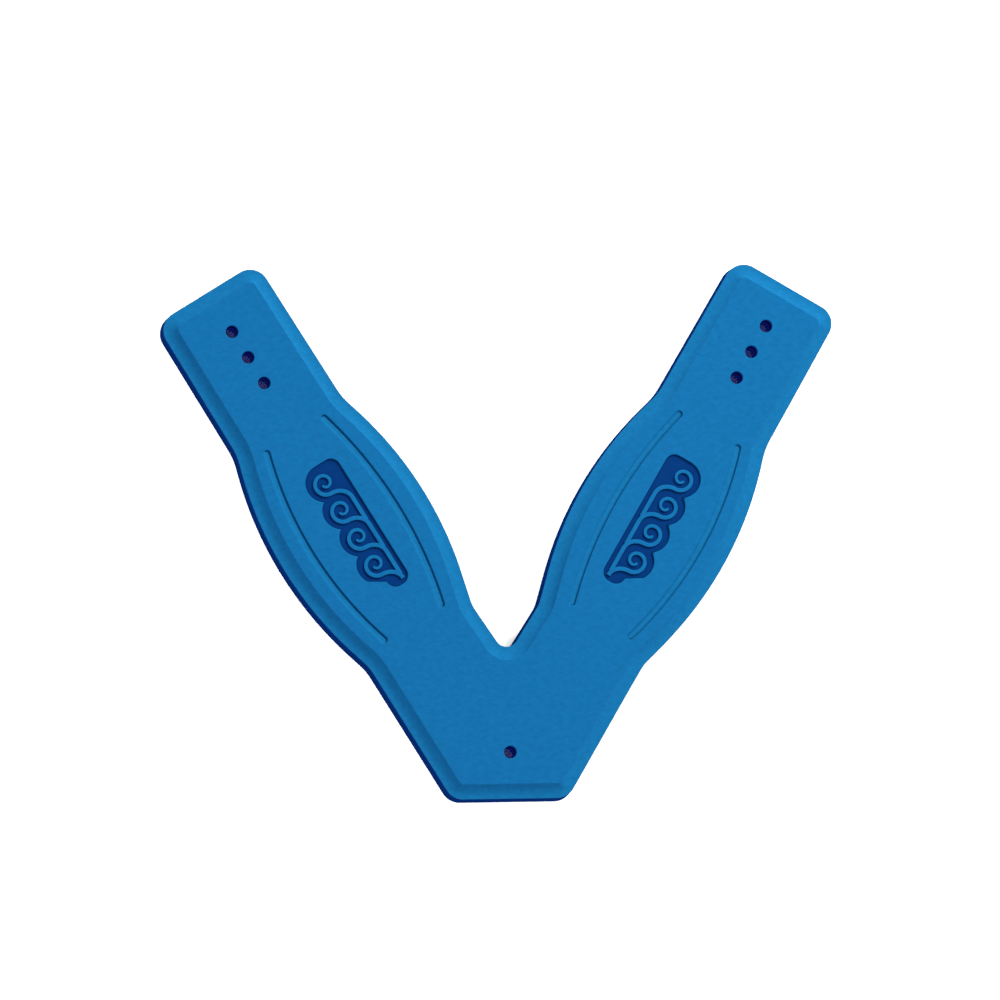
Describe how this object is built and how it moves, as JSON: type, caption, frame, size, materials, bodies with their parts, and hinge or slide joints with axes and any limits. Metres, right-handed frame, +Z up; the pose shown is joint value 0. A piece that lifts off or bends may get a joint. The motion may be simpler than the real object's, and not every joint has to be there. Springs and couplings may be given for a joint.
{
  "type": "foot strap",
  "caption": "V-shaped foam foot strap for a surf or foil board: two padded arms from a screwed tip, each ending in a tab with a row of screw holes",
  "frame": {"origin": "The middle of the strap's box in plan, on the surface it lies on", "axes": "+X to the right arm, +Y from the tip to the tabs, +Z up out of the padded face"},
  "size_m": [0.3356, 0.2665, 0.02],
  "materials": {
    "blue_foam": "matte closed-cell EVA foam, mid blue, very fine grain",
    "navy_foam": "matte closed-cell EVA foam, dark navy",
    "emblem_navy": "matte navy foam at the bottom of the emblem's pocket",
    "black_webbing": "flat woven nylon webbing",
    "black_plastic": "stiff moulded plastic"
  },
  "bodies": {
    "tip": {"tip_upper_foam": "blue_foam", "tip_lower_foam": "navy_foam", "tip_core": "black_webbing", "tip_screw_plate": "black_plastic"},
    "left_pad": {"left_pad_upper_foam": "blue_foam", "left_pad_lower_foam": "navy_foam", "left_pad_core": "black_webbing", "left_emblem_base": "emblem_navy", "left_emblem_crests": "blue_foam"},
    "left_tab": {"left_tab_upper_foam": "blue_foam", "left_tab_lower_foam": "navy_foam", "left_tab_core": "black_webbing", "left_screw_plate": "black_plastic"},
    "right_pad": {"right_pad_upper_foam": "blue_foam", "right_pad_lower_foam": "navy_foam", "right_pad_core": "black_webbing", "right_emblem_base": "emblem_navy", "right_emblem_crests": "blue_foam"},
    "right_tab": {"right_tab_upper_foam": "blue_foam", "right_tab_lower_foam": "navy_foam", "right_tab_core": "black_webbing", "right_screw_plate": "black_plastic"}
  },
  "joints": [
    {"name": "left_lower_flex", "type": "hinge", "parent": "tip", "child": "left_pad", "pos_m": [-0.04275, -0.05015, 0.02], "axis": [0.8572, 0.515, 0], "range_deg": [0, 40], "stiffness_Nm_per_rad": 0.4},
    {"name": "left_upper_flex", "type": "hinge", "parent": "left_pad", "child": "left_tab", "pos_m": [-0.10558, 0.05442, 0], "axis": [0.8572, 0.515, 0], "range_deg": [-60, 0], "stiffness_Nm_per_rad": 0.3},
    {"name": "right_lower_flex", "type": "hinge", "parent": "tip", "child": "right_pad", "pos_m": [0.04275, -0.05015, 0.02], "axis": [0.8572, -0.515, 0], "range_deg": [0, 40], "stiffness_Nm_per_rad": 0.4},
    {"name": "right_upper_flex", "type": "hinge", "parent": "right_pad", "child": "right_tab", "pos_m": [0.10558, 0.05442, 0], "axis": [0.8572, -0.515, 0], "range_deg": [-60, 0], "stiffness_Nm_per_rad": 0.3}
  ]
}
